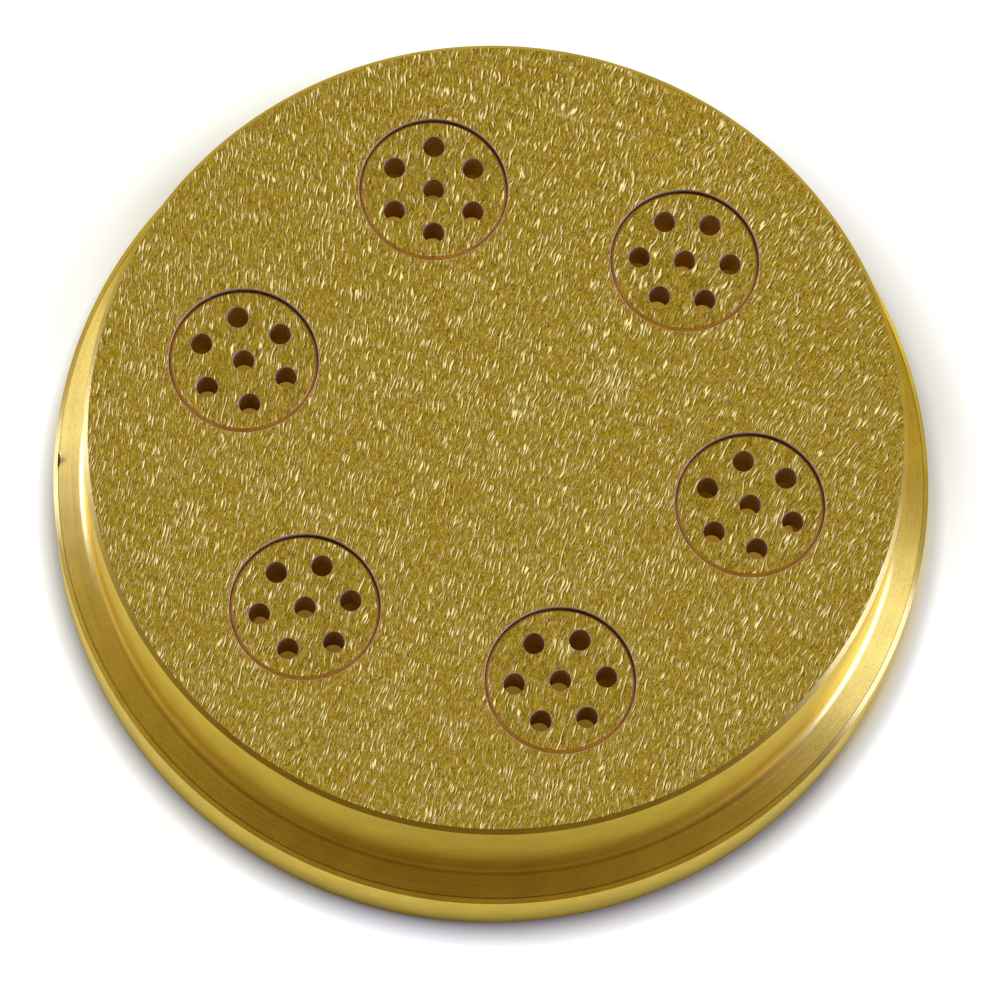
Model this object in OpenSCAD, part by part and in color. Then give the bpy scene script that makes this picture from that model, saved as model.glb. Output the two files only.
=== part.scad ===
// Extrusion die for fresh pasta: a turned brass disc with a back flange and
// six stepped inserts, each pierced by a ring of round strand holes.
// The exit face looks up (+Z) and the die rests on its back rim at z = 0.
// The origin is on the axis of the disc, at the bottom.

/* [Body] */
// Height of the die from the back rim to the exit face
body_h = 21; // [19:0.5:30]
// Diameter of the exit face and of the plain wall below it
face_d = 72; // [70:0.5:75]
// Diameter of the back flange
flange_d = 78; // [77:0.5:90]
// Height of the flange wall, up to its chamfer
flange_h = 7.3; // [6.5:0.1:9]
// Slope of the clamping shoulder below the horizontal
shoulder_angle = 18; // [10:1:30]
// Radius in the corner between the plain wall and the shoulder
corner_r = 1.1; // [0.4:0.1:1.5]
// Chamfer between the shoulder and the flange wall
flange_chamfer = 0.4; // [0.2:0.1:0.8]
// Chamfer round the exit face
face_chamfer = 0.4; // [0.2:0.1:1]
// Chamfer round the bottom of the flange
base_chamfer = 0.2; // [0.1:0.1:1]

/* [Dough chamber] */
// Diameter of the recess in the back
chamber_d = 64; // [63:0.5:68]
// Depth of the recess in the back
chamber_depth = 5; // [3:0.25:6]
// Radius between the wall and the floor of the recess
chamber_floor_r = 1; // [0.5:0.1:1.4]
// Chamfer round the mouth of the recess
chamber_chamfer = 0.5; // [0.2:0.1:1]

/* [Inserts] */
// Diameter of the circle on which the inserts sit
pitch_d = 46; // [44:0.5:47]
// Diameter of the insert's nose, seen in the exit face
nose_d = 13; // [12:0.25:14]
// Diameter of the insert's collar, behind the nose
collar_d = 15; // [14.5:0.25:15.5]
// Length of the nose, from the seat to its end face
nose_len = 7; // [5:0.25:9]
// How far the insert's end face lies below the exit face
insert_recess = 0.1; // [0:0.05:0.5]
// Chamfer round the insert's end face
nose_chamfer = 0.3; // [0.1:0.05:0.5]
// Chamfer round the back edge of the collar
collar_chamfer = 0.5; // [0.2:0.1:0.8]
// Gap all round an insert in its pocket, on the radius
insert_clearance = 0.05; // [0.03:0.01:0.15]
// Break of the pocket's edge in the exit face
pocket_chamfer = 0.08; // [0.05:0.01:0.15]

/* [Strand holes] */
// Diameter of one strand hole
strand_d = 1.9; // [1:0.1:2.1]
// Diameter of the circle of outer strand holes
strand_ring_d = 8; // [7:0.1:8.2]
// Number of outer strand holes round the middle one
strand_count = 6; // [3:1:8]
// Thickness of the pierced end wall of an insert
end_wall = 4.4; // [3:0.1:5.5]
// Diameter of the feed cup behind the end wall
cup_d = 10.6; // [10.4:0.1:11.2]
// Radius between the wall and the floor of the feed cup
cup_floor_r = 0.3; // [0.1:0.1:0.6]
// Width of the slanted mouth of the feed cup
cup_mouth = 0.8; // [0.3:0.1:1]

/* [Turn of each insert] */
// Turn of the first insert in its pocket, in degrees
turn_1 = -6; // [-30:1:30]
// Turn of the second insert
turn_2 = 12; // [-30:1:30]
// Turn of the third insert
turn_3 = -14; // [-30:1:30]
// Turn of the fourth insert
turn_4 = -6; // [-30:1:30]
// Turn of the fifth insert
turn_5 = 25; // [-30:1:30]
// Turn of the sixth insert
turn_6 = 21; // [-30:1:30]

/* [Nick in the flange] */
// Direction of the nick, seen from above
nick_angle = 194.5; // [0:0.5:360]
// Radius of the blunt tool mark
nick_r = 1.1; // [0.9:0.1:1.5]
// Height of the mark's middle over the inner edge of the flange's chamfer
nick_offset = 0.8; // [0.6:0.05:1]

/* [Hidden] */

// Smoothness of every turned surface
$fn = 96;
// Straight steps in each round stretch of an outline
arc_steps = 8;
// One overrun that carries each cut past the surface it opens
overrun = 1;

face_r = face_d / 2;
flange_r = flange_d / 2;
chamber_r = chamber_d / 2;
pitch_r = pitch_d / 2;
nose_r = nose_d / 2;
collar_r = collar_d / 2;
cup_r = cup_d / 2;
strand_r = strand_d / 2;
strand_ring_r = strand_ring_d / 2;

// The six pockets are evenly spaced, the first one on +X
turns = [turn_1, turn_2, turn_3, turn_4, turn_5, turn_6];
pocket_count = len(turns);
pocket_step = 360 / pocket_count;

// The shoulder cone ends at the flange's chamfer
shoulder_r = flange_r - flange_chamfer;
shoulder_end = flange_h + flange_chamfer;
// Height at which the shoulder cone would meet the plain wall
shoulder_top = shoulder_end + (shoulder_r - face_r) * tan(shoulder_angle);

// A circle that touches a vertical wall and the shoulder cone has its middle
// this share of its radius away from their corner, along the wall
tangent_share = (1 - sin(shoulder_angle)) / cos(shoulder_angle);

// Middle of the corner radius, outside the metal
corner_x = face_r + corner_r;
corner_y = shoulder_top + corner_r * tangent_share;

// An insert stands on the level of the chamber floor, and its nose ends
// just below the exit face
insert_back = chamber_depth;
insert_front = body_h - insert_recess;
seat_h = insert_front - nose_len;
cup_floor = insert_front - end_wall;

// Points of a round stretch of an outline, from one direction to another
function arc(x, y, r, from, to) = [
    for (i = [0 : arc_steps])
        let (a = from + (to - from) * i / arc_steps)
            [x + r * cos(a), y + r * sin(a)]
];

// Half section of the body before its pockets, radius along x, height along y
module body_section() {
    difference() {
        polygon(concat(
            [
                [0, 0],
                [flange_r - base_chamfer, 0],
                [flange_r, base_chamfer],
                [flange_r, flange_h],
                [shoulder_r, shoulder_end]
            ],
            arc(corner_x, corner_y, corner_r, 270 - shoulder_angle, 180),
            [
                [face_r, body_h - face_chamfer],
                [face_r - face_chamfer, body_h],
                [0, body_h]
            ]
        ));
        chamber_section();
    }
}

// Half section of the dough chamber, with its rounded corner and its mouth
module chamber_section() {
    translate([0, -overrun])
        square([chamber_r, overrun + chamber_depth - chamber_floor_r]);
    square([chamber_r - chamber_floor_r, chamber_depth]);
    translate([chamber_r - chamber_floor_r, chamber_depth - chamber_floor_r])
        circle(r = chamber_floor_r);
    polygon([
        [0, 0],
        [chamber_r + chamber_chamfer, 0],
        [chamber_r, chamber_chamfer],
        [0, chamber_chamfer]
    ]);
}

// Half section of a stepped pocket, cut past the chamber floor and the face
module pocket_section() {
    polygon([
        [0, chamber_depth - overrun],
        [collar_r + insert_clearance, chamber_depth - overrun],
        [collar_r + insert_clearance, seat_h],
        [nose_r + insert_clearance, seat_h],
        [nose_r + insert_clearance, body_h - pocket_chamfer],
        [nose_r + insert_clearance + pocket_chamfer + overrun, body_h + overrun],
        [0, body_h + overrun]
    ]);
}

// Blunt mark in the upper edge of the flange
module nick() {
    rotate([0, 0, nick_angle])
        translate([shoulder_r, 0, shoulder_end + nick_offset])
            sphere(r = nick_r);
}

module die_body() {
    color([0.72, 0.6, 0.24])
        difference() {
            rotate_extrude()
                body_section();
            for (i = [0 : pocket_count - 1])
                rotate([0, 0, i * pocket_step])
                    translate([pitch_r, 0, 0])
                        rotate_extrude()
                            pocket_section();
            nick();
        }
}

// Half section of an insert before its strand holes
module insert_section() {
    difference() {
        polygon([
            [0, insert_back],
            [collar_r - collar_chamfer, insert_back],
            [collar_r, insert_back + collar_chamfer],
            [collar_r, seat_h],
            [nose_r, seat_h],
            [nose_r, insert_front - nose_chamfer],
            [nose_r - nose_chamfer, insert_front],
            [0, insert_front]
        ]);
        cup_section();
    }
}

// Half section of the feed cup, open at the back
module cup_section() {
    translate([0, insert_back - overrun])
        square([cup_r, cup_floor - cup_floor_r - insert_back + overrun]);
    translate([0, insert_back])
        square([cup_r - cup_floor_r, cup_floor - insert_back]);
    translate([cup_r - cup_floor_r, cup_floor - cup_floor_r])
        circle(r = cup_floor_r);
    polygon([
        [0, insert_back],
        [cup_r + cup_mouth, insert_back],
        [cup_r, insert_back + cup_mouth],
        [0, insert_back + cup_mouth]
    ]);
}

// One strand hole through the end wall
module strand_hole() {
    translate([0, 0, cup_floor - overrun])
        cylinder(r = strand_r, h = end_wall + overrun * 2);
}

// One insert on the axis of the frame, with its holes before it is turned
module insert() {
    difference() {
        rotate_extrude()
            insert_section();
        strand_hole();
        for (i = [0 : strand_count - 1])
            rotate([0, 0, i * 360 / strand_count])
                translate([strand_ring_r, 0, 0])
                    strand_hole();
    }
}

// Insert number i, seated in its own pocket
module seated_insert(i) {
    color([0.7, 0.58, 0.22])
        rotate([0, 0, i * pocket_step])
            translate([pitch_r, 0, 0])
                rotate([0, 0, turns[i]])
                    insert();
}

module insert_1() {
    seated_insert(0);
}

module insert_2() {
    seated_insert(1);
}

module insert_3() {
    seated_insert(2);
}

module insert_4() {
    seated_insert(3);
}

module insert_5() {
    seated_insert(4);
}

module insert_6() {
    seated_insert(5);
}

die_body();
insert_1();
insert_2();
insert_3();
insert_4();
insert_5();
insert_6();
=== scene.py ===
"""The looks of a pasta extrusion die: turned and brushed brass with six pierced inserts."""

import math

import bmesh
import bpy
from mathutils import Matrix, Vector
from mathutils.geometry import delaunay_2d_cdt


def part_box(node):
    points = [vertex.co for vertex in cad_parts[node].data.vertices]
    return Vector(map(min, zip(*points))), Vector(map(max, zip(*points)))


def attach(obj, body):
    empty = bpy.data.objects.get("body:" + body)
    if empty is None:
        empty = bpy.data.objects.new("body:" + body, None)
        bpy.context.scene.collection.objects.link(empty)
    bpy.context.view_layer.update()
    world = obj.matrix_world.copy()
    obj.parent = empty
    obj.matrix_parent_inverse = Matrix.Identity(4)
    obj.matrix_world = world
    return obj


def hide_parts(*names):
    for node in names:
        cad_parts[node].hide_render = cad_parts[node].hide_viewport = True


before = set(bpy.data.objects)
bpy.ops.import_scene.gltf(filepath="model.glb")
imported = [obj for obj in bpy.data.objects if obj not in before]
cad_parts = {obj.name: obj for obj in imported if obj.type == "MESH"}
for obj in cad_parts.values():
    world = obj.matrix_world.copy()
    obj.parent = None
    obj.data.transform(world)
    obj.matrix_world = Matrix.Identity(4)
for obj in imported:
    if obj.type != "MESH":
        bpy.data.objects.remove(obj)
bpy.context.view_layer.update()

# Sizes in millimetres; the object is made in metres
MM = 0.001
_, body_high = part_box("die_body")
BODY_H = body_high.z / MM
FLANGE_R = body_high.x / MM
FACE_R = 36.0
FLANGE_H = 7.3
SHOULDER_SLOPE = math.radians(18)
CORNER_R = 1.1
FLANGE_CHAMFER = 0.4
FACE_CHAMFER = 0.4
BASE_CHAMFER = 0.2
CHAMBER_R = 32.0
CHAMBER_DEPTH = 5.0
CHAMBER_FLOOR_R = 1.0
CHAMBER_CHAMFER = 0.5
NOSE_R = 6.5
COLLAR_R = 7.5
NOSE_LEN = 7.0
INSERT_RECESS = 0.1
NOSE_CHAMFER = 0.3
COLLAR_CHAMFER = 0.5
CLEARANCE = 0.05
POCKET_BREAK = 0.08
STRAND_R = 0.95
STRAND_RING_R = 4.0
STRAND_COUNT = 6
END_WALL = 4.4
CUP_R = 5.3
CUP_FLOOR_R = 0.3
CUP_MOUTH = 0.8
TURNS = [-6, 12, -14, -6, 25, 21]
NICK_ANGLE = math.radians(194.5)
NICK_HALF = 0.85
NICK_DEPTH = 0.22
NICK_LIP = 0.08

INSERT_FRONT = BODY_H - INSERT_RECESS
SEAT_H = INSERT_FRONT - NOSE_LEN
CUP_FLOOR = INSERT_FRONT - END_WALL
SHOULDER_R = FLANGE_R - FLANGE_CHAMFER
SHOULDER_END = FLANGE_H + FLANGE_CHAMFER
SHOULDER_TOP = SHOULDER_END + (SHOULDER_R - FACE_R) * math.tan(SHOULDER_SLOPE)

# Every edge of the metal is broken by this much, so that it catches the light
EDGE_BREAK = 0.05
# Break of a strand hole's edge, half as much at its foot in the feed cup
HOLE_BREAK = 0.035
# Flat ring left round each opening before the broken edge begins
LAND = 0.12
# How far inwards the nick reaches, and the distance between rings there
NICK_REACH = 0.24
NICK_STEP = 0.03
# Faces round each turned surface, and steps in each small arc
BODY_SEGMENTS = 384
POCKET_SEGMENTS = 160
STRAND_SEGMENTS = 56
ARC_STEPS = 5
# Half the angle round the nick in which the steps are finer, and their count
NICK_FINE_ANGLE = 0.04
NICK_FINE_STEPS = 60
# Points nearer than this count as one when a flat ground is filled
FILL_MERGE = 1e-5

# Slots of the meshes: what each stretch of metal is finished like
FACE, TURNED, BORE, BACK = range(4)

# The brushing of the face runs along Y and fans out a little towards +Y
FAN = 1.93e-4
FAN_FOOT = -28.0
# Middle and reach of the crossed scratches on the face
HATCH_X = 10.0
HATCH_Y = 31.0
HATCH_REACH = 13.0
# Places on the face that have been rubbed bright: x, y and reach
RUBBED = [(7.8, 7.3, 3.2), (1.6, 2.6, 2.6), (-10.3, 25.0, 2.2)]
# Directions of the crossed scratches, in degrees
HATCH_WAYS = (38, 128)
# Width and length of what the brushing drew out
LONG_STROKE = (0.15, 1.35)
SHORT_STROKE = (0.1, 0.7)
HOOK = (0.8, 1.1)
FINE = (0.09, 0.3)
MOTTLE = (0.35, 0.8)
# Size of the places in which the strokes lean alike, and of denser patches
LEAN_SIZE = 3.2
PATCH_SIZE = 4.5
# Depth of a stroke, in metres
STROKE_DEPTH = 0.00002
# How far to the side of each stroke its shadow falls
STROKE_SHADOW = -0.09
# Ground and stroke colours of the brushed face; the strokes' pale colour is partly a painted glint
GROUND_DARK = (0.12, 0.075, 0.002)
GROUND_LIGHT = (0.55, 0.39, 0.03)
GROUND_WARM = (0.42, 0.22, 0.01)
STROKE_AND_GLINT_COLOUR = (0.96, 0.84, 0.35)

# The camera of the photograph, fitted to its holes and edges
VIEW_AZIMUTH = math.radians(10.016)
VIEW_ELEVATION = math.radians(73.405)
VIEW_ROLL = math.radians(6.338)
VIEW_DISTANCE = 621.9
VIEW_ASIDE = -0.794
VIEW_ABOVE = -0.443
FOCAL_PX = 6900.8
PHOTO_WIDTH_PX = 996

# The white floor, its reach in metres, and how far its painted shadow is shifted in millimetres
FLOOR_R = 3.0
FLOOR_SEGMENTS = 96
FLOOR_LIFT = 0.8
PAINTED_SHADOW_SHIFT = (0.3, -0.15)
# The white sheet under the object, a painted pool of light, ends softly in front, just outside the picture
SHEET_TURN = VIEW_AZIMUTH + VIEW_ROLL
SHEET_FRONT = -46.0
SHEET_FADE = 12.0
# Distances from the middle at which the painted pool of light starts and stops losing its white
POOL_NEAR = 66
POOL_FAR = 120
# Colours of the paper on the sheet and beyond it, darker beyond to paint the pool of light
PAPER = (0.62, 0.63, 0.27)
PAPER_OUTSIDE_POOL = (0.4, 0.39, 0.17)
# Colours of the light under the chamber and beside the flange
GLOW = (0.3, 0.17, 0.02)
CAST = (0.25, 0.19, 0.02)


def rounded(corners):
    """Points and outward normals of an outline in which each inner corner is an arc.

    corners holds (radius, height, arc radius, finish) for each corner, and the
    metal lies on the right of the way along it.
    """
    points = []
    for i, (x, y, r, finish) in enumerate(corners):
        here = Vector((x, y))
        if i in (0, len(corners) - 1):
            first = max(i, 1)
            way = (Vector(corners[first][:2]) - Vector(corners[first - 1][:2])).normalized()
            points.append((here, Vector((-way.y, way.x)), finish))
            continue
        a = (here - Vector(corners[i - 1][:2])).normalized()
        b = (Vector(corners[i + 1][:2]) - here).normalized()
        turn = math.atan2(a.x * b.y - a.y * b.x, a.dot(b))
        if r == 0:
            points.append((here, Vector((-a.y, a.x)), finish))
            continue
        side = 1 if turn > 0 else -1
        middle = here - a * (r * math.tan(abs(turn) / 2)) + side * r * Vector((-a.y, a.x))
        for k in range(ARC_STEPS + 1):
            normal = Matrix.Rotation(turn * k / ARC_STEPS, 2) @ Vector((-a.y, a.x))
            points.append((middle - side * r * normal, normal, finish))
    return points


class Metal:
    """Collects the surface of one piece, with a true normal at every vertex."""

    def __init__(self, name):
        self.name = name
        self.bm = bmesh.new()
        self.normals = {}

    def ring(self, centre, radius, height, normal, angles):
        made = []
        for a in angles:
            c, s = math.cos(a), math.sin(a)
            v = self.bm.verts.new((centre[0] + radius * c, centre[1] + radius * s, height))
            self.normals[v] = Vector((normal.x * c, normal.x * s, normal.y))
            made.append(v)
        return made

    def lathe(self, centre, outline, angles):
        """Turns an outline about a vertical axis; returns its first and last ring."""
        rings = [self.ring(centre, p.x, p.y, n, angles) for p, n, _ in outline]
        count = len(angles)
        for (low, high), (_, _, finish) in zip(zip(rings, rings[1:]), outline[1:]):
            for j in range(count):
                k = (j + 1) % count
                face = self.bm.faces.new((low[j], high[j], high[k], low[k]))
                face.material_index = finish
        return rings[0], rings[-1]

    def plate(self, outer, holes, up, finish):
        """Fills the flat ground between one outer ring and the round holes in it."""
        verts, ring_of, edges = [], [], []
        for number, loop in enumerate([outer, *holes]):
            first, count = len(verts), len(loop)
            verts.extend(loop)
            ring_of.extend([number] * count)
            edges.extend((first + k, first + (k + 1) % count) for k in range(count))
        flat = [v.co.xy for v in verts]
        _, _, triangles, sources, _, _ = delaunay_2d_cdt(flat, edges, [], 1, FILL_MERGE)
        for triangle in triangles:
            corners = [sources[k][0] for k in triangle]
            rings = {ring_of[k] for k in corners}
            # Three corners on the edge of one hole lie inside that hole
            if len(rings) == 1 and 0 not in rings:
                continue
            face = self.bm.faces.new([verts[k] for k in corners])
            face.material_index = finish
            face.normal_update()
            if (face.normal.z > 0) != up:
                face.normal_flip()

    def finish(self, materials, slot):
        bm = self.bm
        bm.verts.index_update()
        normals = [self.normals[v] for v in bm.verts]
        bmesh.ops.scale(bm, vec=(MM, MM, MM), verts=bm.verts)
        mesh = bpy.data.meshes.new(self.name)
        bm.to_mesh(mesh)
        bm.free()
        for m in materials:
            mesh.materials.append(m)
        mesh.shade_smooth()
        mesh.normals_split_custom_set_from_vertices([n.normalized() for n in normals])
        piece = bpy.data.objects.new(self.name, mesh)
        bpy.context.scene.collection.objects.link(piece)
        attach(piece, "root")
        return piece


def even_angles(count):
    return [2 * math.pi * i / count for i in range(count)]


def nick_angles():
    """Directions round the body, closer together at the nick."""
    coarse = [a for a in even_angles(BODY_SEGMENTS) if abs(a - NICK_ANGLE) > NICK_FINE_ANGLE]
    near = []
    for i in range(NICK_FINE_STEPS + 1):
        near.append(NICK_ANGLE + NICK_FINE_ANGLE * (2 * i / NICK_FINE_STEPS - 1))
    return sorted(coarse + near)


def place_of(i):
    """Middle of insert i, taken from its box in the frame."""
    low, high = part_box(f"insert_{i + 1}")
    middle = (low + high) / 2 / MM
    return middle.x, middle.y


def nick_steps():
    """Closer points on the shoulder and on the chamfer, where the nick is pressed in."""
    fall = math.tan(SHOULDER_SLOPE)
    shoulder = [NICK_STEP * k for k in range(round(NICK_REACH / NICK_STEP) + 4, 1, -1)]
    count = round(FLANGE_CHAMFER / NICK_STEP)
    chamfer = [FLANGE_CHAMFER * k / count for k in range(1, count)]
    return (
        [(SHOULDER_R - d, SHOULDER_END + d * fall, 0, TURNED) for d in shoulder],
        [(SHOULDER_R + d, SHOULDER_END - d, 0, TURNED) for d in chamfer[1:-1]],
    )


def body_outline():
    """From the edge of the face, down the wall and flange, to the floor of the chamber."""
    shoulder, chamfer = nick_steps()
    return rounded([
        (FACE_R - FACE_CHAMFER - LAND, BODY_H, 0, FACE),
        (FACE_R - FACE_CHAMFER, BODY_H, EDGE_BREAK, FACE),
        (FACE_R, BODY_H - FACE_CHAMFER, EDGE_BREAK, TURNED),
        (FACE_R, SHOULDER_TOP, CORNER_R, TURNED),
        *shoulder,
        (SHOULDER_R, SHOULDER_END, EDGE_BREAK, TURNED),
        *chamfer,
        (FLANGE_R, FLANGE_H, EDGE_BREAK, TURNED),
        (FLANGE_R, BASE_CHAMFER, EDGE_BREAK, TURNED),
        (FLANGE_R - BASE_CHAMFER, 0, EDGE_BREAK, BACK),
        (CHAMBER_R + CHAMBER_CHAMFER, 0, EDGE_BREAK, BACK),
        (CHAMBER_R, CHAMBER_CHAMFER, EDGE_BREAK, BACK),
        (CHAMBER_R, CHAMBER_DEPTH, CHAMBER_FLOOR_R, BACK),
        (CHAMBER_R - CHAMBER_FLOOR_R - LAND, CHAMBER_DEPTH, 0, BACK),
    ])


def pocket_outline():
    """From the chamber floor up through the stepped pocket to the face."""
    wide, narrow = COLLAR_R + CLEARANCE, NOSE_R + CLEARANCE
    return rounded([
        (wide + LAND, CHAMBER_DEPTH, 0, BACK),
        (wide, CHAMBER_DEPTH, EDGE_BREAK, BACK),
        (wide, SEAT_H, EDGE_BREAK, BORE),
        (narrow, SEAT_H, EDGE_BREAK, BORE),
        (narrow, BODY_H, POCKET_BREAK, BORE),
        (narrow + LAND, BODY_H, 0, FACE),
    ])


def press_nick(metal):
    """Pushes the shoulder down beside the flange's edge, where a blunt tool has slipped."""
    c, s = math.cos(NICK_ANGLE), math.sin(NICK_ANGLE)
    for v in metal.bm.verts:
        out, along = v.co.x * c + v.co.y * s, v.co.y * c - v.co.x * s
        inwards = SHOULDER_R - EDGE_BREAK - out
        beside = abs(v.co.z - SHOULDER_END) > 1 or abs(along) > NICK_HALF
        if beside or not -NICK_LIP < inwards < NICK_REACH:
            continue
        bow = 1 - (along / NICK_HALF) ** 2
        reach = NICK_REACH * bow
        share = min(1 + inwards / NICK_LIP, max(0.0, 1 - inwards / reach))
        v.co.z -= NICK_DEPTH * bow * share
        tilt = 0
        if share > 0:
            tilt = (1 / NICK_LIP if inwards < 0 else -1 / reach) * NICK_DEPTH * bow
        slope = 2 * along / NICK_HALF ** 2 * NICK_DEPTH * share
        normal = metal.normals[v]
        lean = Vector((-tilt * c + slope * s, -tilt * s - slope * c, 0))
        metal.normals[v] = (normal + lean).normalized()


def build_body(materials):
    metal = Metal("die_body_turned")
    angles = nick_angles()
    face_edge, floor_edge = metal.lathe((0, 0), body_outline(), angles)
    floor_holes, face_holes = [], []
    for i in range(len(TURNS)):
        low, high = metal.lathe(place_of(i), pocket_outline(), even_angles(POCKET_SEGMENTS))
        floor_holes.append(low)
        face_holes.append(high)
    metal.plate(face_edge, face_holes, True, FACE)
    metal.plate(floor_edge, floor_holes, False, BACK)
    press_nick(metal)
    piece = metal.finish(materials, "body_brass")
    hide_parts("die_body")
    return piece


def insert_outline():
    """From the end face, down the nose and collar, to the floor of the feed cup."""
    return rounded([
        (NOSE_R - NOSE_CHAMFER - LAND, INSERT_FRONT, 0, FACE),
        (NOSE_R - NOSE_CHAMFER, INSERT_FRONT, EDGE_BREAK, FACE),
        (NOSE_R, INSERT_FRONT - NOSE_CHAMFER, EDGE_BREAK, TURNED),
        (NOSE_R, SEAT_H, EDGE_BREAK, TURNED),
        (COLLAR_R, SEAT_H, EDGE_BREAK, TURNED),
        (COLLAR_R, CHAMBER_DEPTH + COLLAR_CHAMFER, EDGE_BREAK, TURNED),
        (COLLAR_R - COLLAR_CHAMFER, CHAMBER_DEPTH, EDGE_BREAK, BACK),
        (CUP_R + CUP_MOUTH, CHAMBER_DEPTH, EDGE_BREAK, BACK),
        (CUP_R, CHAMBER_DEPTH + CUP_MOUTH, EDGE_BREAK, BACK),
        (CUP_R, CUP_FLOOR, CUP_FLOOR_R, BORE),
        (CUP_R - CUP_FLOOR_R - HOLE_BREAK / 4, CUP_FLOOR, 0, BORE),
    ])


def strand_outline():
    """One strand hole, from the cup floor up to the end face.

    Its foot is a little narrower, to stay clear of the edge of the cup's floor.
    """
    return rounded([
        (STRAND_R + HOLE_BREAK * 0.7, CUP_FLOOR, 0, BORE),
        (STRAND_R, CUP_FLOOR, HOLE_BREAK / 2, BORE),
        (STRAND_R, INSERT_FRONT, HOLE_BREAK, BORE),
        (STRAND_R + LAND, INSERT_FRONT, 0, FACE),
    ])


def build_insert(i, materials):
    metal = Metal(f"insert_{i + 1}_turned")
    x, y = place_of(i)
    turn = math.radians(i * 60 + TURNS[i])
    face_edge, cup_edge = metal.lathe((x, y), insert_outline(), even_angles(POCKET_SEGMENTS))
    cup_holes, face_holes = [], []
    holes = [(x, y)]
    for k in range(STRAND_COUNT):
        a = turn + 2 * math.pi * k / STRAND_COUNT
        holes.append((x + STRAND_RING_R * math.cos(a), y + STRAND_RING_R * math.sin(a)))
    for centre in holes:
        low, high = metal.lathe(centre, strand_outline(), even_angles(STRAND_SEGMENTS))
        cup_holes.append(low)
        face_holes.append(high)
    metal.plate(face_edge, face_holes, True, FACE)
    metal.plate(cup_edge, cup_holes, False, BORE)
    piece = metal.finish(materials, "insert_brass")
    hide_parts(f"insert_{i + 1}")
    return piece


class Nodes:
    """Short calls for building a material's node tree."""

    def __init__(self, name):
        self.material = bpy.data.materials.new(name)
        self.material.use_nodes = True
        self.tree = self.material.node_tree
        self.shader = self.tree.nodes["Principled BSDF"]

    def set(self, socket, value):
        if isinstance(value, bpy.types.NodeSocket):
            self.tree.links.new(value, socket)
        else:
            socket.default_value = value

    def node(self, kind, inputs=None, **settings):
        made = self.tree.nodes.new(kind)
        for key, value in settings.items():
            setattr(made, key, value)
        for key, value in (inputs or {}).items():
            self.set(made.inputs[key], value)
        return made

    def math(self, operation, a, b=0.0):
        made = self.node("ShaderNodeMath", {0: a, 1: b}, operation=operation)
        return made.outputs[0]

    def product(self, first, *others):
        for other in others:
            first = self.math("MULTIPLY", first, other)
        return first

    def total(self, first, *others):
        for other in others:
            first = self.math("ADD", first, other)
        return first

    def squares(self, x, y):
        """Sum of two squares."""
        return self.math("ADD", self.math("MULTIPLY", x, x), self.math("MULTIPLY", y, y))

    def turned(self, x, y, angle):
        """Places along a direction and across it."""
        c, s = math.cos(angle), math.sin(angle)
        along = self.math("ADD", self.math("MULTIPLY", x, c), self.math("MULTIPLY", y, s))
        across = self.math("SUBTRACT", self.math("MULTIPLY", y, c), self.math("MULTIPLY", x, s))
        return along, across

    def vector(self, x, y, z=0.0):
        return self.node("ShaderNodeCombineXYZ", {0: x, 1: y, 2: z}).outputs[0]

    def noise(self, vector, scale=1.0, detail=2.0, rough=0.5):
        inputs = {"Vector": vector, "Scale": scale, "Detail": detail, "Roughness": rough}
        return self.node("ShaderNodeTexNoise", inputs).outputs["Fac"]

    def span(self, value, low, high, to_low=0.0, to_high=1.0):
        inputs = {0: value, 1: low, 2: high, 3: to_low, 4: to_high}
        return self.node("ShaderNodeMapRange", inputs, clamp=True).outputs[0]

    def blend(self, share, a, b):
        made = self.node("ShaderNodeMix", data_type="RGBA")
        self.set(made.inputs["Factor"], share)
        self.set(made.inputs[6], a)
        self.set(made.inputs[7], b)
        return made.outputs[2]

    def tint(self, colour, tone):
        """A plain colour made darker or lighter by a tone near 1."""
        made = self.node("ShaderNodeVectorMath", operation="SCALE")
        made.inputs[0].default_value = colour
        self.set(made.inputs["Scale"], tone)
        return made.outputs[0]

    def place(self):
        """Place on the object in millimetres, as x, y and z."""
        where = self.node("ShaderNodeTexCoord").outputs["Object"]
        scaled = self.node("ShaderNodeVectorMath", {0: where, 1: (1 / MM,) * 3}, operation="MULTIPLY")
        parts = self.node("ShaderNodeSeparateXYZ", {0: scaled.outputs[0]})
        return parts.outputs[0], parts.outputs[1], parts.outputs[2]

    def bump(self, height, distance, strength):
        inputs = {"Height": height, "Distance": distance, "Strength": strength}
        return self.node("ShaderNodeBump", inputs).outputs["Normal"]


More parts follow.
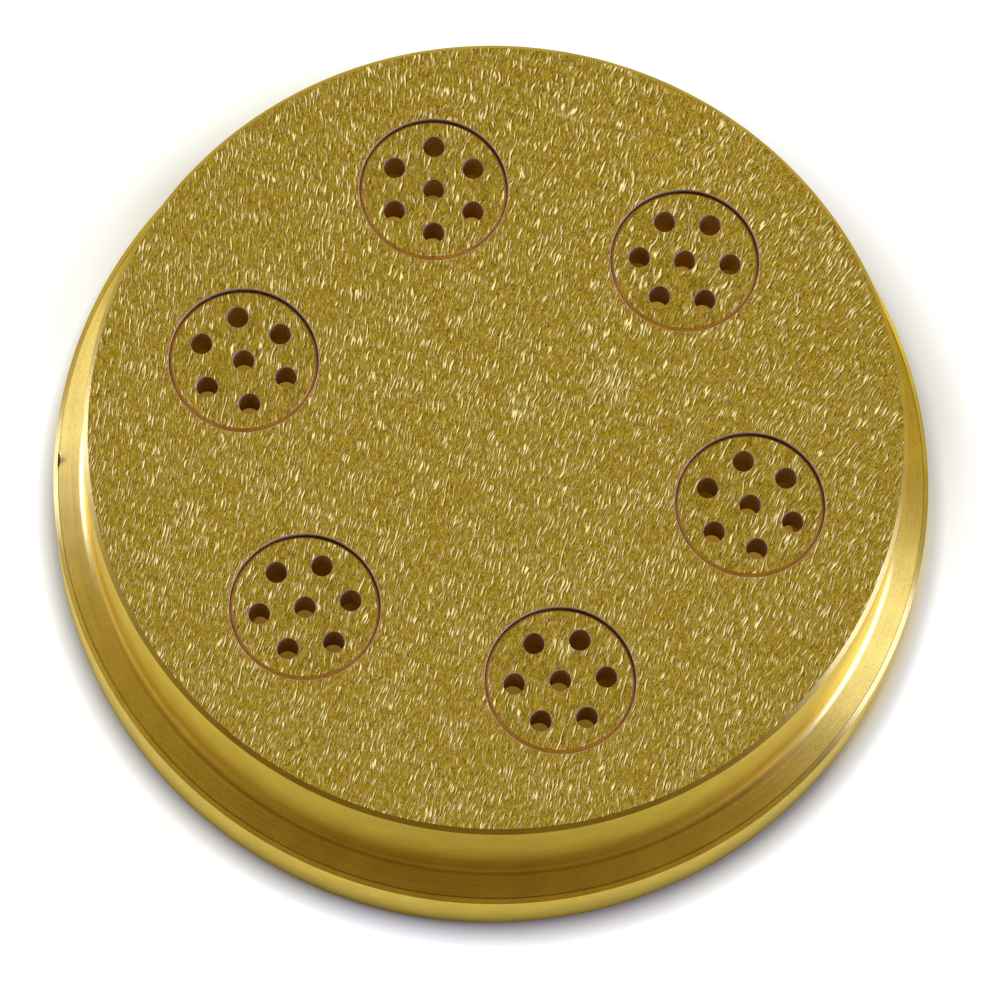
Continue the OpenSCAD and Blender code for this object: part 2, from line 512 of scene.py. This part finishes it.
def turned_brass(name, base, rough, stretch=0.0, lines=0.0, painted_shades=(), dull=None):
    """Metal off a lathe: stretched gloss, fine rings, and the painted shade it is given."""
    n = Nodes(name)
    n.shader.inputs["Metallic"].default_value = 1.0
    n.shader.inputs["Specular Tint"].default_value = (1, 0.96, 0.58, 1)
    n.shader.inputs["Roughness"].default_value = rough
    if stretch:
        n.shader.inputs["Anisotropic"].default_value = stretch
        n.shader.inputs["Anisotropic Rotation"].default_value = 0.25
        round_axis = n.node("ShaderNodeTangent", direction_type="RADIAL", axis="Z")
        n.set(n.shader.inputs["Tangent"], round_axis.outputs[0])
    x, y, z = n.place()
    away = n.math("SQRT", n.squares(x, y))
    across = n.math("DIVIDE", n.math("ADD", away, z), 0.13)
    rings = n.vector(across, n.math("DIVIDE", x, 9.0), n.math("DIVIDE", y, 9.0))
    ring = n.noise(rings, detail=3.0, rough=0.6)
    grain = n.noise(n.vector(x, y, z), scale=6.0, detail=1.0)
    cloud = n.noise(n.vector(x, y, z), scale=0.35, detail=3.0)
    tone = n.span(ring, 0.3, 0.7, 1 - lines, 1 + lines)
    for texture in (cloud, grain):
        tone = n.math("ADD", tone, n.span(texture, 0.3, 0.7, -lines, lines))
    for painted_shade in painted_shades:
        tone = n.math("MULTIPLY", tone, painted_shade(n, x, y, z, away))
    n.set(n.shader.inputs["Base Color"], n.tint(base, tone))
    if dull:
        duller = n.span(z, SHOULDER_TOP - 0.35, SHOULDER_TOP + 0.25, rough, dull)
        n.set(n.shader.inputs["Roughness"], duller)
    return n.material


def painted_wall_shade(n, x, y, z, away):
    """Painted shade: the plain wall is a little darker than the shoulder, standing in for its dimmer
    reflection.
    """
    return n.span(z, SHOULDER_TOP + 0.7, SHOULDER_TOP + 2.0, 1.0, 0.72)


def painted_corner_shade(n, x, y, z, away):
    """Painted shade in the corner between the wall and the shoulder, at the front only."""
    low = n.span(z, SHOULDER_TOP + 1.2, SHOULDER_TOP + 0.4)
    inner = n.span(away, FACE_R + 0.01, FACE_R + 0.08)
    outer = n.span(away, FACE_R + 0.2, FACE_R + 0.36, 1.0, 0.0)
    front = n.span(y, -22, -33)
    corner_shade = n.product(inner, outer, low, front)
    return n.span(corner_shade, 0, 1, 1.0, 0.72)


def painted_edge_reflection(n, x, y, z, away):
    """A fine dark line where the shoulder ends, a painted dark reflection."""
    off = n.math("ABSOLUTE", n.math("SUBTRACT", away, SHOULDER_R - 0.03))
    return n.span(off, 0.03, 0.09, 0.55, 1.0)


def painted_flange_shade(n, x, y, z, away):
    """The flange's wall is painted darker than the rest, a painted shade for its dimmer reflection."""
    outer = n.span(away, FLANGE_R - 0.1, FLANGE_R)
    low = n.span(z, FLANGE_H + 0.1, FLANGE_H)
    return n.span(n.product(outer, low), 0, 1, 1.0, 0.72)


def painted_side_shade(n, x, y, z, away):
    """The chamfer over the flange's wall is darker at the left and right sides, painted shade that dims its
    highlight there.
    """
    outer = n.span(away, SHOULDER_R + 0.02, SHOULDER_R + 0.08)
    high = n.span(z, FLANGE_H, FLANGE_H + 0.05)
    side = n.span(n.math("ABSOLUTE", x), 31, 35)
    return n.span(n.product(outer, high, side), 0, 1, 1.0, 0.62)


def painted_far_shadow(n, x, y, z, away):
    """Painted shadow darkens the groove round each insert, most on its far side."""
    normal = n.node("ShaderNodeNewGeometry").outputs["Normal"]
    a = math.radians(85)
    inputs = {0: normal, 1: (math.cos(a), math.sin(a), 0)}
    facing = n.node("ShaderNodeVectorMath", inputs, operation="DOT_PRODUCT").outputs["Value"]
    deep = n.span(z, INSERT_FRONT - 0.12, INSERT_FRONT - 0.22)
    return n.span(n.product(n.span(facing, 0.1, 0.7), deep), 0, 1, 1.0, 0.12)


def painted_nick_shade(n, x, y, z, away):
    """Painted shade of the dent beside the nick, where the tool slipped."""
    towards, beside = n.turned(x, y, NICK_ANGLE)
    inwards = n.math("SUBTRACT", SHOULDER_R, away)
    off = n.math("ADD", n.math("ABSOLUTE", beside), n.math("MULTIPLY", inwards, 1.1))
    dent_shade = n.product(n.span(off, 0.95, 0.4), n.span(inwards, -0.03, 0.02), n.span(towards, 0, 1))
    return n.span(dent_shade, 0, 1, 1.0, 0.33)


def brushed_noise(n, across, y, size, shift, **settings):
    """Noise drawn out along the brushing; size holds its width and its length."""
    wide, long = size
    return n.noise(n.vector(n.math("DIVIDE", across, wide), n.math("DIVIDE", y, long), shift), **settings)


def across_brushing(n, x, y, shift):
    """Place across the brushing, which fans out, wanders and hooks a little."""
    rise = n.math("ADD", y, -FAN_FOOT)
    fan = n.math("EXPONENT", n.product(rise, rise, -FAN / 2))
    straight = n.math("ADD", n.math("MULTIPLY", x, fan), shift)
    lean = n.noise(n.vector(n.math("DIVIDE", x, LEAN_SIZE), n.math("DIVIDE", y, LEAN_SIZE)), detail=2.0)
    hook = brushed_noise(n, straight, y, HOOK, shift, detail=1.0)
    return n.total(straight, n.math("MULTIPLY", lean, 0.8), n.math("MULTIPLY", hook, 0.15))


def rubbed_places(n, x, y):
    """How much denser the strokes are at each place, in patches and where the face is rubbed."""
    patch = n.noise(n.vector(n.math("DIVIDE", x, PATCH_SIZE), n.math("DIVIDE", y, PATCH_SIZE)), detail=3.0)
    more = n.math("MULTIPLY", n.math("SUBTRACT", patch, 0.5), 0.14)
    for middle_x, middle_y, reach in RUBBED:
        off = n.squares(n.math("SUBTRACT", x, middle_x), n.math("SUBTRACT", y, middle_y))
        more = n.math("ADD", more, n.span(off, 0, reach ** 2, 0.045, 0.0))
    return more


def strokes(n, across, y, shift, more, plenty):
    """Long bright strokes with fainter short ones between them."""
    long = brushed_noise(n, across, y, LONG_STROKE, shift, detail=1.0)
    short = brushed_noise(n, across, y, SHORT_STROKE, shift, detail=1.0)
    long = n.span(n.math("ADD", long, more), plenty, plenty + 0.09)
    short = n.span(n.math("ADD", short, more), plenty - 0.05, plenty + 0.11)
    return n.math("MAXIMUM", long, n.math("MULTIPLY", short, 0.45))


def hatching(n, x, y):
    """Faint crossed scratches on the far right of the face."""
    off = n.squares(n.math("SUBTRACT", x, HATCH_X), n.math("SUBTRACT", y, HATCH_Y))
    scratches = 0.0
    for way in HATCH_WAYS:
        along, across = n.turned(x, y, math.radians(way))
        line = n.noise(n.vector(n.math("DIVIDE", along, 7.0), n.math("DIVIDE", across, 0.16)), detail=1.0)
        scratches = n.math("ADD", n.span(line, 0.3, 0.7, -0.04, 0.05), scratches)
    return n.math("MULTIPLY", scratches, n.span(off, 0, HATCH_REACH ** 2, 1.0, 0.0))


def mottled_ground(n, x, y, across, shift, fine, shadow, tone):
    """Colour between the strokes: mottled, darker beside each stroke, warm in places."""
    mottle = brushed_noise(n, across, y, MOTTLE, shift, detail=2.0)
    grain = n.noise(n.vector(x, y), scale=6.0, detail=1.0)
    level = n.math("MULTIPLY", fine, 0.4)
    level = n.total(level, n.math("MULTIPLY", mottle, 0.3), n.math("MULTIPLY", grain, 0.3))
    # Painted shadow beside each stroke darkens the ground
    level = n.math("SUBTRACT", level, n.math("MULTIPLY", shadow, 0.14))
    level = n.math("ADD", level, hatching(n, x, y))
    dark, light, warm = (
        (*(c * tone for c in colour), 1) for colour in (GROUND_DARK, GROUND_LIGHT, GROUND_WARM)
    )
    ground = n.blend(n.span(level, 0.37, 0.64), dark, light)
    where = n.noise(n.vector(x, y, 4.0), scale=4.5, detail=2.0)
    return n.blend(n.span(where, 0.45, 0.65, 0, 0.35), ground, warm)


def brushed_brass(name, shift, tone, plenty):
    """Rough brass, brushed by hand: short bright hooked strokes on a mottled ground."""
    n = Nodes(name)
    n.shader.inputs["Metallic"].default_value = 1.0
    x, y, _ = n.place()
    across = across_brushing(n, x, y, shift)
    more = rubbed_places(n, x, y)
    lit = strokes(n, across, y, shift, more, plenty)
    shadow = strokes(n, n.math("ADD", across, STROKE_SHADOW), y, shift, more, plenty)
    fine = brushed_noise(n, across, y, FINE, shift, detail=2.0, rough=0.6)
    ground = mottled_ground(n, x, y, across, shift, fine, shadow, tone)
    # Brush strokes, their pale colour partly a painted glint
    colour = n.blend(n.math("MULTIPLY", lit, 0.95), ground, (*STROKE_AND_GLINT_COLOUR, 1))
    n.set(n.shader.inputs["Base Color"], colour)
    n.set(n.shader.inputs["Roughness"], n.span(lit, 0, 1, 0.42, 0.32))
    height = n.math("ADD", n.math("MULTIPLY", lit, 0.4), n.math("MULTIPLY", fine, 0.6))
    n.set(n.shader.inputs["Normal"], n.bump(height, STROKE_DEPTH, 0.6))
    return n.material


def materials():
    """Materials of the body and of an insert, in the order of the slots."""
    # Painted shade on the body's turned metal: wall, corner, edges, flange and nick
    painted_shades = (painted_wall_shade, painted_corner_shade, painted_edge_reflection, painted_flange_shade, painted_side_shade, painted_nick_shade)
    turned = turned_brass(
        "brass_turned_wall", (0.87, 0.61, 0.065), 0.27, stretch=0.65, lines=0.08, painted_shades=painted_shades, dull=0.37
    )
    nose_wall = turned_brass("brass_turned_nose", (0.92, 0.67, 0.12), 0.3, lines=0.05, painted_shades=(painted_far_shadow,))
    bore = turned_brass("brass_drilled_bore", (0.74, 0.55, 0.2), 0.75, lines=0.1)
    back = turned_brass("brass_turned_back", (0.8, 0.62, 0.24), 0.4, lines=0.08)
    face = brushed_brass("brass_brushed_face", shift=0.0, tone=1.0, plenty=0.6)
    nose = brushed_brass("brass_brushed_nose", shift=17.3, tone=0.95, plenty=0.62)
    return {"body": [face, turned, bore, back], "insert": [nose, nose_wall, bore, back]}


def make_camera():
    data = bpy.data.cameras.new("camera")
    camera = bpy.data.objects.new("camera", data)
    bpy.context.scene.collection.objects.link(camera)
    flat = math.cos(VIEW_ELEVATION)
    back = Vector((math.sin(VIEW_AZIMUTH) * flat, -math.cos(VIEW_AZIMUTH) * flat, math.sin(VIEW_ELEVATION)))
    level = Vector((math.cos(VIEW_AZIMUTH), math.sin(VIEW_AZIMUTH), 0))
    upright = back.cross(level)
    right = math.cos(VIEW_ROLL) * level + math.sin(VIEW_ROLL) * upright
    up = back.cross(right)
    camera.location = (back * VIEW_DISTANCE - right * VIEW_ASIDE - up * VIEW_ABOVE) * MM
    camera.rotation_euler = Matrix((right, up, back)).transposed().to_euler()
    data.lens = FOCAL_PX / PHOTO_WIDTH_PX * data.sensor_width
    data.clip_start = 0.01
    data.clip_end = 20
    bpy.context.scene.camera = camera


def soft_box(name, azimuth, elevation, distance, width, height, radiance, tint=(1, 1, 1), lean=0):
    """A soft box that faces the object, seen from it at an azimuth (0 on +X) and elevation."""
    data = bpy.data.lights.new(name, "AREA")
    data.shape = "RECTANGLE"
    data.size = width
    data.size_y = height
    data.energy = radiance * math.pi * width * height
    data.color = tint
    box = bpy.data.objects.new(name, data)
    bpy.context.scene.collection.objects.link(box)
    a, e = math.radians(azimuth), math.radians(elevation)
    out = Vector((math.cos(a) * math.cos(e), math.sin(a) * math.cos(e), math.sin(e)))
    box.location = out * distance
    across = Vector((-math.sin(a), math.cos(a), 0))
    tilt = math.radians(lean)
    side = math.cos(tilt) * across + math.sin(tilt) * out.cross(across)
    box.rotation_euler = Matrix((side, out.cross(side), out)).transposed().to_euler()
    return box


def seen_rays(n):
    """1 for the camera's rays and for those that shiny things throw on, else 0."""
    path = n.node("ShaderNodeLightPath")
    seen = n.math("MAXIMUM", path.outputs["Is Camera Ray"], path.outputs["Is Glossy Ray"])
    return n.math("MAXIMUM", seen, path.outputs["Is Transmission Ray"])


def sheet_light_pool(n, x, y, away):
    """1 on the white sheet under the object, less where this painted pool of light fades out."""
    _, along = n.turned(x, y, SHEET_TURN)
    front = n.span(along, SHEET_FRONT - SHEET_FADE, SHEET_FRONT)
    return n.product(front, n.span(away, POOL_NEAR, POOL_FAR, 1.0, 0.6))


def sheet_lift(n, y, away, sheet):
    """Light that whitens the sheet, held back next to the object and close behind it, which paints a shadow
    there.
    """
    near = n.span(away, FLANGE_R - 0.15, FLANGE_R + 2.1, 0.0, FLOOR_LIFT)
    painted_shadow_behind = n.product(n.span(y, 0, 20), n.span(away, FLANGE_R + 6.5, FLANGE_R + 2))
    return n.product(near, sheet, n.span(painted_shadow_behind, 0, 1, 1.0, 0.5))


def glow_under(n, x, y):
    """Warm light under the chamber, which the strand holes show."""
    inside = n.span(n.math("SQRT", n.squares(x, y)), CHAMBER_R - 1, CHAMBER_R - 4)
    return n.product(inside, n.span(y, -24, 24, 0.4, 0.95))


def brass_cast(n, x, away):
    """Yellow light that the flange throws on the floor at its right."""
    return n.product(n.span(away, FLANGE_R + 1.0, FLANGE_R + 0.1), n.span(x, 35.5, 38.8))


def floor_paper():
    """Matt paper, with the light that whitens and tints it in the picture."""
    n = Nodes("floor_paper")
    n.tree.nodes.remove(n.shader)
    x, y, _ = n.place()
    aside = n.math("SUBTRACT", x, PAINTED_SHADOW_SHIFT[0])
    ahead = n.math("SUBTRACT", y, PAINTED_SHADOW_SHIFT[1])
    away = n.math("SQRT", n.squares(aside, ahead))
    sheet = sheet_light_pool(n, x, y, away)
    paper = n.node("ShaderNodeBsdfDiffuse", {"Color": n.blend(sheet, (*PAPER_OUTSIDE_POOL, 1), (*PAPER, 1))})
    surface = paper.outputs[0]
    seen = seen_rays(n)
    lights = (
        ((1, 1, 1), sheet_lift(n, y, away, sheet)),
        (GLOW, glow_under(n, x, y)),
        (CAST, brass_cast(n, x, away)),
    )
    for colour, strength in lights:
        inputs = {"Color": (*colour, 1), "Strength": n.product(seen, strength)}
        light = n.node("ShaderNodeEmission", inputs).outputs[0]
        surface = n.node("ShaderNodeAddShader", {0: surface, 1: light}).outputs[0]
    n.tree.links.new(surface, n.tree.nodes["Material Output"].inputs["Surface"])
    return n.material


def make_floor():
    """A wide pale floor, white away from the object, which keeps its shadow near it, deepened by painted
    shadow.
    """
    disc = bmesh.new()
    bmesh.ops.create_circle(disc, cap_ends=True, segments=FLOOR_SEGMENTS, radius=FLOOR_R)
    mesh = bpy.data.meshes.new("floor")
    disc.to_mesh(mesh)
    disc.free()
    mesh.materials.append(floor_paper())
    floor = bpy.data.objects.new("floor", mesh)
    bpy.context.scene.collection.objects.link(floor)


def make_world():
    """A dim warm room, darkest in front of the object, with a paler band low in front."""
    world = bpy.data.worlds.new("studio")
    world.use_nodes = True
    bpy.context.scene.world = world
    tree = world.node_tree
    way = tree.nodes.new("ShaderNodeTexCoord").outputs["Generated"]

    def lobe(azimuth, elevation, low, high):
        dot = tree.nodes.new("ShaderNodeVectorMath")
        dot.operation = "DOT_PRODUCT"
        tree.links.new(way, dot.inputs[0])
        a, e = math.radians(azimuth), math.radians(elevation)
        dot.inputs[1].default_value = (math.cos(a) * math.cos(e), math.sin(a) * math.cos(e), math.sin(e))
        span = tree.nodes.new("ShaderNodeMapRange")
        span.interpolation_type = "SMOOTHSTEP"
        span.inputs[1].default_value = low
        span.inputs[2].default_value = high
        tree.links.new(dot.outputs["Value"], span.inputs[0])
        return span.outputs[0]

    def blend(share, a, b):
        mix = tree.nodes.new("ShaderNodeMix")
        mix.data_type = "RGBA"
        tree.links.new(share, mix.inputs["Factor"])
        for socket, value in ((mix.inputs[6], a), (mix.inputs[7], b)):
            if isinstance(value, tuple):
                socket.default_value = (*value, 1)
            else:
                tree.links.new(value, socket)
        return mix.outputs[2]

    room = blend(lobe(285, 35, 0.28, 0.82), (0.36, 0.31, 0.22), (0.13, 0.08, 0.03))
    room = blend(lobe(0, -90, -0.45, -0.22), room, (0.34, 0.26, 0.15))
    tree.links.new(room, tree.nodes["Background"].inputs["Color"])


def make_light():
    """Two soft boxes with a bright core low in each, and a third box overhead."""
    soft_box("box_left", 162, 38, 1.2, 0.31, 1.1, 0.77, (1, 1.18, 3.9), 14)
    soft_box("box_right", 14, 41, 1.2, 0.37, 1.1, 0.83, (1, 1.18, 3.9), -14)
    soft_box("core_left", 180, 16, 1.1, 0.28, 0.66, 5.2, (0.7, 0.88, 5.5))
    soft_box("core_right", 6, 17, 1.1, 0.42, 0.66, 4.4, (0.7, 0.88, 5.5))
    soft_box("box_top", 100, 76, 1.3, 1.0, 1.0, 0.95)


make_camera()
make_world()
make_light()
make_floor()
finishes = materials()
build_body(finishes["body"])
for number in range(len(TURNS)):
    build_insert(number, finishes["insert"])

bpy.context.scene.view_settings.view_transform = "Standard"
